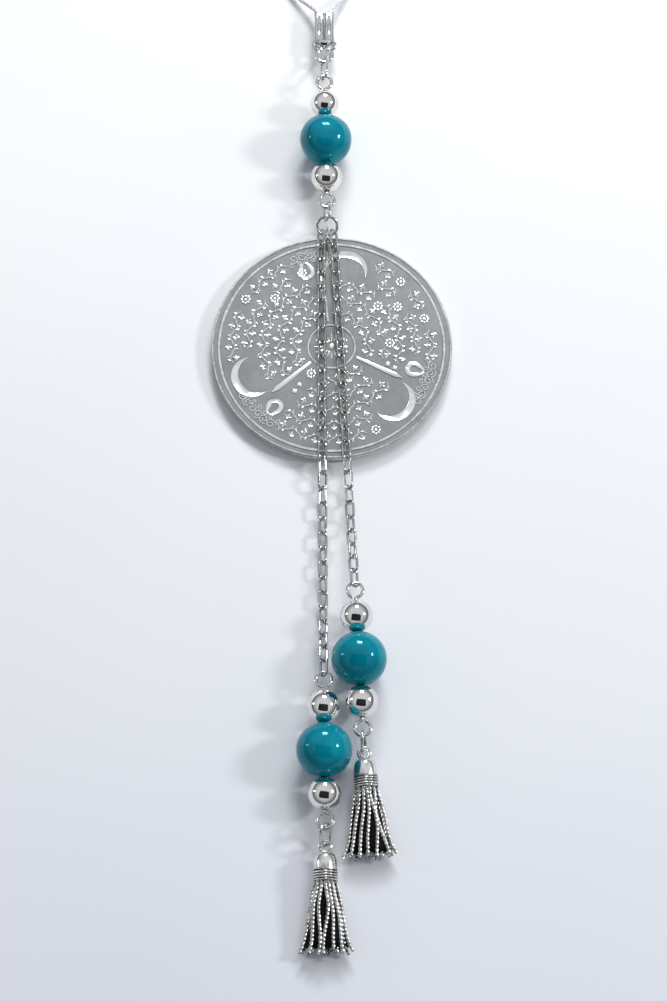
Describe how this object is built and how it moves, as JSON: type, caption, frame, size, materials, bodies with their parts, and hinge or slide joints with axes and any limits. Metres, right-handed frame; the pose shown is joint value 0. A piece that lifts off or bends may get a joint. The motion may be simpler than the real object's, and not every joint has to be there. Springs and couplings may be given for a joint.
{
  "type": "hanging amulet",
  "caption": "Hanging amulet to lay flat or hang up: etched round metal disc on a ring, with two link chains that end in bead stems and cast tassels, under a beaded top and a cord loop.",
  "frame": {"origin": "centre of the disc's flat back face", "axes": "lying flat with its front up: +Z out of the disc's front, +Y towards the hanging cord, +X to the right seen from the front"},
  "size_m": [0.045, 0.2301, 0.0101],
  "materials": {
    "etched_steel": "matte etched ground with polished raised lines",
    "turquoise_stone": "polished turquoise-blue bead",
    "polished_bead": "bright polished plating",
    "chain_metal": "bright plated wire",
    "plated_wire": "bright plated wire",
    "antique_silver": "cast, dark in the recesses and polished on the strands",
    "cord": "braided pale cord"
  },
  "bodies": {
    "disc": {"engraved_disc": "etched_steel"},
    "disc_ring": {"disc_ring": "plated_wire"},
    "hub_ring": {"hub_ring": "plated_wire"},
    "connector_ring": {"connector_ring": "plated_wire"},
    "top_eye_pin": {"top_eye_pin": "plated_wire"},
    "top_ring": {"top_ring": "plated_wire"},
    "cord_crimp": {"cord_crimp": "plated_wire", "hanging_cord": "cord"},
    "top_small_bead": {"top_small_bead": "polished_bead"},
    "top_turquoise_bead": {"top_turquoise_bead": "turquoise_stone"},
    "top_large_bead": {"top_large_bead": "polished_bead"},
    "left_chain_01": {"left_chain_01": "chain_metal"},
    "left_chain_02": {"left_chain_02": "chain_metal"},
    "left_chain_03": {"left_chain_03": "chain_metal"},
    "left_chain_04": {"left_chain_04": "chain_metal"},
    "left_chain_05": {"left_chain_05": "chain_metal"},
    "left_chain_06": {"left_chain_06": "chain_metal"},
    "left_chain_07": {"left_chain_07": "chain_metal"},
    "left_chain_08": {"left_chain_08": "chain_metal"},
    "left_chain_09": {"left_chain_09": "chain_metal"},
    "left_chain_10": {"left_chain_10": "chain_metal"},
    "left_chain_11": {"left_chain_11": "chain_metal"},
    "left_chain_12": {"left_chain_12": "chain_metal"},
    "left_chain_13": {"left_chain_13": "chain_metal"},
    "left_chain_14": {"left_chain_14": "chain_metal"},
    "left_chain_15": {"left_chain_15": "chain_metal"},
    "left_chain_16": {"left_chain_16": "chain_metal"},
    "left_eye_pin": {"left_eye_pin": "plated_wire"},
    "left_upper_bead": {"left_upper_bead": "polished_bead"},
    "left_turquoise_bead": {"left_turquoise_bead": "turquoise_stone"},
    "left_lower_bead": {"left_lower_bead": "polished_bead"},
    "left_jump_ring": {"left_jump_ring": "plated_wire"},
    "left_tassel": {"left_tassel": "antique_silver"},
    "right_chain_01": {"right_chain_01": "chain_metal"},
    "right_chain_02": {"right_chain_02": "chain_metal"},
    "right_chain_03": {"right_chain_03": "chain_metal"},
    "right_chain_04": {"right_chain_04": "chain_metal"},
    "right_chain_05": {"right_chain_05": "chain_metal"},
    "right_chain_06": {"right_chain_06": "chain_metal"},
    "right_chain_07": {"right_chain_07": "chain_metal"},
    "right_chain_08": {"right_chain_08": "chain_metal"},
    "right_chain_09": {"right_chain_09": "chain_metal"},
    "right_chain_10": {"right_chain_10": "chain_metal"},
    "right_chain_11": {"right_chain_11": "chain_metal"},
    "right_chain_12": {"right_chain_12": "chain_metal"},
    "right_chain_13": {"right_chain_13": "chain_metal"},
    "right_eye_pin": {"right_eye_pin": "plated_wire"},
    "right_upper_bead": {"right_upper_bead": "polished_bead"},
    "right_turquoise_bead": {"right_turquoise_bead": "turquoise_stone"},
    "right_lower_bead": {"right_lower_bead": "polished_bead"},
    "right_jump_ring": {"right_jump_ring": "plated_wire"},
    "right_tassel": {"right_tassel": "antique_silver"}
  },
  "joints": [
    {"name": "disc_ring_swing", "type": "hinge", "parent": "disc", "child": "disc_ring", "pos_m": [-0.00085, 0.0223, 0.00155], "axis": [1, 0, 0], "range_deg": [-45, 0]},
    {"name": "hub_ring_tip", "type": "hinge", "parent": "disc_ring", "child": "hub_ring", "pos_m": [-0.00085, 0.02219, 0.00284], "axis": [1, 0, 0], "range_deg": [-30, 0]},
    {"name": "connector_swing", "type": "hinge", "parent": "hub_ring", "child": "connector_ring", "pos_m": [-0.00085, 0.0251, 0.00529], "axis": [1, 0, 0], "range_deg": [-20, 45]},
    {"name": "top_stem_swing", "type": "hinge", "parent": "connector_ring", "child": "top_eye_pin", "pos_m": [-0.00091, 0.02815, 0.00397], "axis": [-0.4927, -0.3537, -0.7951], "range_deg": [-25, 25]},
    {"name": "top_ring_swing", "type": "hinge", "parent": "top_eye_pin", "child": "top_ring", "pos_m": [-0.00146, 0.05559, 0.00425], "axis": [0.9998, 0.0209, 0], "range_deg": [-35, 35]},
    {"name": "crimp_swing", "type": "hinge", "parent": "top_ring", "child": "cord_crimp", "pos_m": [-0.00146, 0.06062, 0.00158], "axis": [-0.4226, -0.4255, -0.8002], "range_deg": [-35, 35]},
    {"name": "top_small_bead_spin", "type": "hinge", "parent": "top_eye_pin", "child": "top_small_bead", "pos_m": [-0.00111, 0.0389, 0.00425], "axis": [-0.0209, 0.9998, 0], "continuous": true},
    {"name": "top_turquoise_bead_spin", "type": "hinge", "parent": "top_eye_pin", "child": "top_turquoise_bead", "pos_m": [-0.00111, 0.0389, 0.00425], "axis": [-0.0209, 0.9998, 0], "continuous": true},
    {"name": "top_large_bead_spin", "type": "hinge", "parent": "top_eye_pin", "child": "top_large_bead", "pos_m": [-0.00111, 0.0389, 0.00425], "axis": [-0.0209, 0.9998, 0], "continuous": true},
    {"name": "left_chain_01_lift", "type": "hinge", "parent": "hub_ring", "child": "left_chain_01", "pos_m": [-0.002, 0.02248, 0.00309], "axis": [1, 0, 0], "range_deg": [-45, 0]},
    {"name": "left_chain_02_swing", "type": "hinge", "parent": "left_chain_01", "child": "left_chain_02", "pos_m": [-0.00197, 0.01759, 0.00295], "axis": [0, 0, 1], "range_deg": [-10, 0]},
    {"name": "left_chain_03_lift", "type": "hinge", "parent": "left_chain_02", "child": "left_chain_03", "pos_m": [-0.00193, 0.01129, 0.00295], "axis": [1, 0.0061, 0], "range_deg": [-10, 0]},
    {"name": "left_chain_04_swing", "type": "hinge", "parent": "left_chain_03", "child": "left_chain_04", "pos_m": [-0.00189, 0.00611, 0.00295], "axis": [0, 0, 1], "range_deg": [-10, 0]},
    {"name": "left_chain_05_lift", "type": "hinge", "parent": "left_chain_04", "child": "left_chain_05", "pos_m": [-0.00186, -0.00019, 0.00295], "axis": [1, 0.0061, 0], "range_deg": [-10, 0]},
    {"name": "left_chain_06_swing", "type": "hinge", "parent": "left_chain_05", "child": "left_chain_06", "pos_m": [-0.00183, -0.00537, 0.00295], "axis": [0, 0, 1], "range_deg": [-10, 0]},
    {"name": "left_chain_07_lift", "type": "hinge", "parent": "left_chain_06", "child": "left_chain_07", "pos_m": [-0.00179, -0.01167, 0.00295], "axis": [1, 0.0061, 0], "range_deg": [-10, 0]},
    {"name": "left_chain_08_swing", "type": "hinge", "parent": "left_chain_07", "child": "left_chain_08", "pos_m": [-0.00176, -0.01685, 0.00295], "axis": [0, 0, 1], "range_deg": [-10, 0]},
    {"name": "left_chain_09_lift", "type": "hinge", "parent": "left_chain_08", "child": "left_chain_09", "pos_m": [-0.00172, -0.02313, 0.00266], "axis": [1, 0.0061, 0], "range_deg": [-10, 0]},
    {"name": "left_chain_10_swing", "type": "hinge", "parent": "left_chain_09", "child": "left_chain_10", "pos_m": [-0.00169, -0.02815, 0.00134], "axis": [0.0012, -0.2015, 0.9795], "range_deg": [-10, 0]},
    {"name": "left_chain_11_lift", "type": "hinge", "parent": "left_chain_10", "child": "left_chain_11", "pos_m": [-0.00165, -0.03438, 0.00057], "axis": [1, 0.0061, 0], "range_deg": [-10, 0]},
    {"name": "left_chain_12_swing", "type": "hinge", "parent": "left_chain_11", "child": "left_chain_12", "pos_m": [-0.00162, -0.03956, 0.0006], "axis": [0, 0, 1], "range_deg": [-10, 0]},
    {"name": "left_chain_13_lift", "type": "hinge", "parent": "left_chain_12", "child": "left_chain_13", "pos_m": [-0.00158, -0.04586, 0.0006], "axis": [1, 0.0061, 0], "range_deg": [-10, 0]},
    {"name": "left_chain_14_swing", "type": "hinge", "parent": "left_chain_13", "child": "left_chain_14", "pos_m": [-0.00155, -0.05104, 0.0006], "axis": [-0.0009, 0.1409, 0.99], "range_deg": [-10, 0]},
    {"name": "left_chain_15_lift", "type": "hinge", "parent": "left_chain_14", "child": "left_chain_15", "pos_m": [-0.00151, -0.05714, 0.00208], "axis": [1, 0.0061, 0], "range_deg": [-10, 0]},
    {"name": "left_chain_16_swing", "type": "hinge", "parent": "left_chain_15", "child": "left_chain_16", "pos_m": [-0.00148, -0.06202, 0.00382], "axis": [-0.0009, 0.1466, 0.9892], "range_deg": [-10, 0]},
    {"name": "left_stem_swing", "type": "hinge", "parent": "left_chain_16", "child": "left_eye_pin", "pos_m": [-0.00146, -0.06541, 0.00433], "axis": [-0.0009, 0.1466, 0.9892], "range_deg": [-20, 0]},
    {"name": "left_upper_bead_spin", "type": "hinge", "parent": "left_eye_pin", "child": "left_upper_bead", "pos_m": [-0.00134, -0.07616, 0.00425], "axis": [0.0105, -0.9999, 0], "continuous": true},
    {"name": "left_turquoise_bead_spin", "type": "hinge", "parent": "left_eye_pin", "child": "left_turquoise_bead", "pos_m": [-0.00134, -0.07616, 0.00425], "axis": [0.0105, -0.9999, 0], "continuous": true},
    {"name": "left_lower_bead_spin", "type": "hinge", "parent": "left_eye_pin", "child": "left_lower_bead", "pos_m": [-0.00134, -0.07616, 0.00425], "axis": [0.0105, -0.9999, 0], "continuous": true},
    {"name": "left_jump_ring_swing", "type": "hinge", "parent": "left_eye_pin", "child": "left_jump_ring", "pos_m": [-0.00116, -0.09346, 0.00425], "axis": [0.9999, 0.0105, 0], "range_deg": [-35, 10]},
    {"name": "left_tassel_swing", "type": "hinge", "parent": "left_jump_ring", "child": "left_tassel", "pos_m": [-0.00113, -0.09604, 0.00263], "axis": [-0.5252, -0.4549, 0.7192], "range_deg": [-20, 0]},
    {"name": "right_chain_01_lift", "type": "hinge", "parent": "hub_ring", "child": "right_chain_01", "pos_m": [0.0003, 0.02248, 0.00309], "axis": [1, 0, 0], "range_deg": [-45, 0]},
    {"name": "right_chain_02_swing", "type": "hinge", "parent": "right_chain_01", "child": "right_chain_02", "pos_m": [0.00061, 0.0176, 0.00295], "axis": [0, 0, 1], "range_deg": [0, 10]},
    {"name": "right_chain_03_lift", "type": "hinge", "parent": "right_chain_02", "child": "right_chain_03", "pos_m": [0.00095, 0.01131, 0.00295], "axis": [0.9985, 0.0541, 0], "range_deg": [-10, 0]},
    {"name": "right_chain_04_swing", "type": "hinge", "parent": "right_chain_03", "child": "right_chain_04", "pos_m": [0.00123, 0.00614, 0.00295], "axis": [0, 0, 1], "range_deg": [0, 10]},
    {"name": "right_chain_05_lift", "type": "hinge", "parent": "right_chain_04", "child": "right_chain_05", "pos_m": [0.00157, -0.00015, 0.00295], "axis": [0.9985, 0.0541, 0], "range_deg": [-10, 0]},
    {"name": "right_chain_06_swing", "type": "hinge", "parent": "right_chain_05", "child": "right_chain_06", "pos_m": [0.00185, -0.00532, 0.00295], "axis": [0, 0, 1], "range_deg": [0, 10]},
    {"name": "right_chain_07_lift", "type": "hinge", "parent": "right_chain_06", "child": "right_chain_07", "pos_m": [0.00219, -0.01162, 0.00295], "axis": [0.9985, 0.0541, 0], "range_deg": [-10, 0]},
    {"name": "right_chain_08_swing", "type": "hinge", "parent": "right_chain_07", "child": "right_chain_08", "pos_m": [0.00247, -0.01679, 0.00295], "axis": [0, 0, 1], "range_deg": [0, 10]},
    {"name": "right_chain_09_lift", "type": "hinge", "parent": "right_chain_08", "child": "right_chain_09", "pos_m": [0.00281, -0.02307, 0.00277], "axis": [0.9985, 0.0541, 0], "range_deg": [-10, 0]},
    {"name": "right_chain_10_swing", "type": "hinge", "parent": "right_chain_09", "child": "right_chain_10", "pos_m": [0.00309, -0.02818, 0.00192], "axis": [0.0056, -0.1036, 0.9946], "range_deg": [0, 10]},
    {"name": "right_chain_11_lift", "type": "hinge", "parent": "right_chain_10", "child": "right_chain_11", "pos_m": [0.00343, -0.03445, 0.00172], "axis": [0.9985, 0.0541, 0], "range_deg": [-10, 0]},
    {"name": "right_chain_12_swing", "type": "hinge", "parent": "right_chain_11", "child": "right_chain_12", "pos_m": [0.0037, -0.03952, 0.00281], "axis": [-0.0127, 0.2351, 0.9719], "range_deg": [0, 10]},
    {"name": "right_chain_13_lift", "type": "hinge", "parent": "right_chain_12", "child": "right_chain_13", "pos_m": [0.00404, -0.04566, 0.00413], "axis": [0.9985, 0.0541, 0], "range_deg": [-10, 0]},
    {"name": "right_stem_swing", "type": "hinge", "parent": "right_chain_13", "child": "right_eye_pin", "pos_m": [0.00419, -0.04853, 0.0043], "axis": [-0.0043, 0.0789, 0.9969], "range_deg": [0, 20]},
    {"name": "right_upper_bead_spin", "type": "hinge", "parent": "right_eye_pin", "child": "right_upper_bead", "pos_m": [0.00475, -0.05926, 0.00425], "axis": [0.0523, -0.9986, 0], "continuous": true},
    {"name": "right_turquoise_bead_spin", "type": "hinge", "parent": "right_eye_pin", "child": "right_turquoise_bead", "pos_m": [0.00475, -0.05926, 0.00425], "axis": [0.0523, -0.9986, 0], "continuous": true},
    {"name": "right_lower_bead_spin", "type": "hinge", "parent": "right_eye_pin", "child": "right_lower_bead", "pos_m": [0.00475, -0.05926, 0.00425], "axis": [0.0523, -0.9986, 0], "continuous": true},
    {"name": "right_jump_ring_swing", "type": "hinge", "parent": "right_eye_pin", "child": "right_jump_ring", "pos_m": [0.00566, -0.07653, 0.00425], "axis": [0.9986, 0.0523, 0], "range_deg": [-35, 10]},
    {"name": "right_tassel_swing", "type": "hinge", "parent": "right_jump_ring", "child": "right_tassel", "pos_m": [0.00579, -0.07912, 0.00263], "axis": [-0.1805, -0.5285, 0.8295], "range_deg": [0, 20]}
  ]
}
